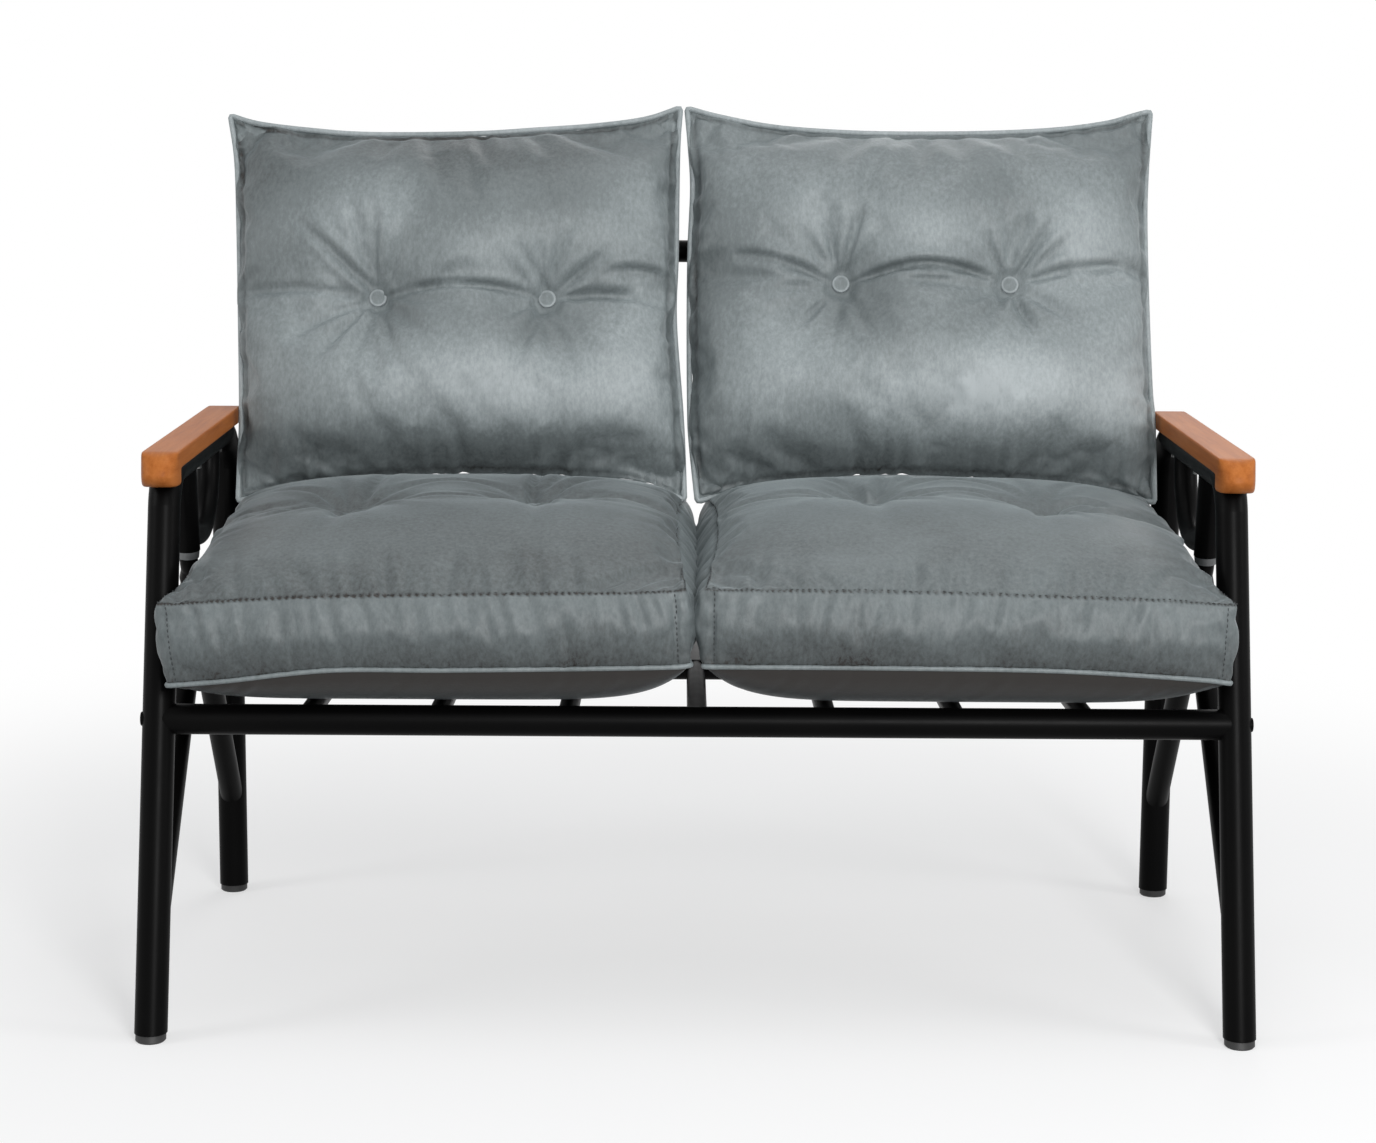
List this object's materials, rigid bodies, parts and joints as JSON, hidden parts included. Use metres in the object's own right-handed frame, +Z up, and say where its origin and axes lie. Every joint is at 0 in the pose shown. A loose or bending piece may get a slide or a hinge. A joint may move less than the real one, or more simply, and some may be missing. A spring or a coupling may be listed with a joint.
{
  "type": "porch loveseat",
  "caption": "Two-seat porch loveseat: black steel tube frame with X-braced sides and forks under wooden armrests, slatted seat, loose seat cushions and loose buttoned back cushions.",
  "frame": {"origin": "on the floor, at the middle of the width and of the depth", "axes": "+X along the bench to the sitter's left, which is the right in the picture; -Y to the front; +Z up"},
  "size_m": [1.094, 0.6698, 0.8784],
  "materials": {
    "black_steel": "satin powder coat",
    "wood": "oiled, open grain along the armrest",
    "velvet": "short-pile velvet, soft sheen",
    "black_plastic": "moulded, matte",
    "grey_plastic": "moulded, matte",
    "black_fastener": "black coated",
    "zinc_fastener": "bright zinc"
  },
  "bodies": {
    "frame": {"armrest_screws": "zinc_fastener", "back_bar_1": "black_steel", "back_bar_2": "black_steel", "back_bar_3": "black_steel", "back_bar_4": "black_steel", "back_bar_5": "black_steel", "back_bar_6": "black_steel", "back_bar_7": "black_steel", "back_bar_8": "black_steel", "back_bolts": "black_fastener", "back_lower_rail": "black_steel", "back_nuts": "zinc_fastener", "back_top_rail": "black_steel", "front_seat_rail": "black_steel", "front_slat_1": "black_steel", "front_slat_2": "black_steel", "front_slat_3": "black_steel", "front_slat_4": "black_steel", "front_slat_5": "black_steel", "front_slat_6": "black_steel", "front_slat_7": "black_steel", "left_armrest": "wood", "left_back_post": "black_steel", "left_brace_ferrule": "grey_plastic", "left_fork_front_arm": "black_steel", "left_fork_rear_arm": "black_steel", "left_front_brace": "black_steel", "left_front_foot_plug": "black_plastic", "left_rear_brace": "black_steel", "left_rear_foot_plug": "black_plastic", "left_side_hoop": "black_steel", "rail_bolts": "black_fastener", "rail_inserts": "zinc_fastener", "rear_seat_rail": "black_steel", "rear_slat_1": "black_steel", "rear_slat_2": "black_steel", "rear_slat_3": "black_steel", "rear_slat_4": "black_steel", "rear_slat_5": "black_steel", "rear_slat_6": "black_steel", "rear_slat_7": "black_steel", "right_armrest": "wood", "right_back_post": "black_steel", "right_brace_ferrule": "grey_plastic", "right_fork_front_arm": "black_steel", "right_fork_rear_arm": "black_steel", "right_front_brace": "black_steel", "right_front_foot_plug": "black_plastic", "right_rear_brace": "black_steel", "right_rear_foot_plug": "black_plastic", "right_side_hoop": "black_steel", "seat_crossbar": "black_steel"},
    "left_seat_cushion": {"left_seat_cushion": "velvet"},
    "right_seat_cushion": {"right_seat_cushion": "velvet"},
    "left_back_cushion": {"left_back_buttons": "velvet", "left_back_cushion": "velvet"},
    "right_back_cushion": {"right_back_buttons": "velvet", "right_back_cushion": "velvet"}
  },
  "joints": [
    {"name": "left_seat_cushion_lift_out", "type": "slide", "parent": "frame", "child": "left_seat_cushion", "axis": [0, -0.9991, 0.0416], "range_m": [0, 0.25]},
    {"name": "left_back_cushion_lift_out", "type": "slide", "parent": "frame", "child": "left_back_cushion", "axis": [0, 0.225, 0.9744], "range_m": [0, 0.25]},
    {"name": "right_seat_cushion_lift_out", "type": "slide", "parent": "frame", "child": "right_seat_cushion", "axis": [0, -0.9991, 0.0416], "range_m": [0, 0.25]},
    {"name": "right_back_cushion_lift_out", "type": "slide", "parent": "frame", "child": "right_back_cushion", "axis": [0, 0.225, 0.9744], "range_m": [0, 0.25]}
  ]
}
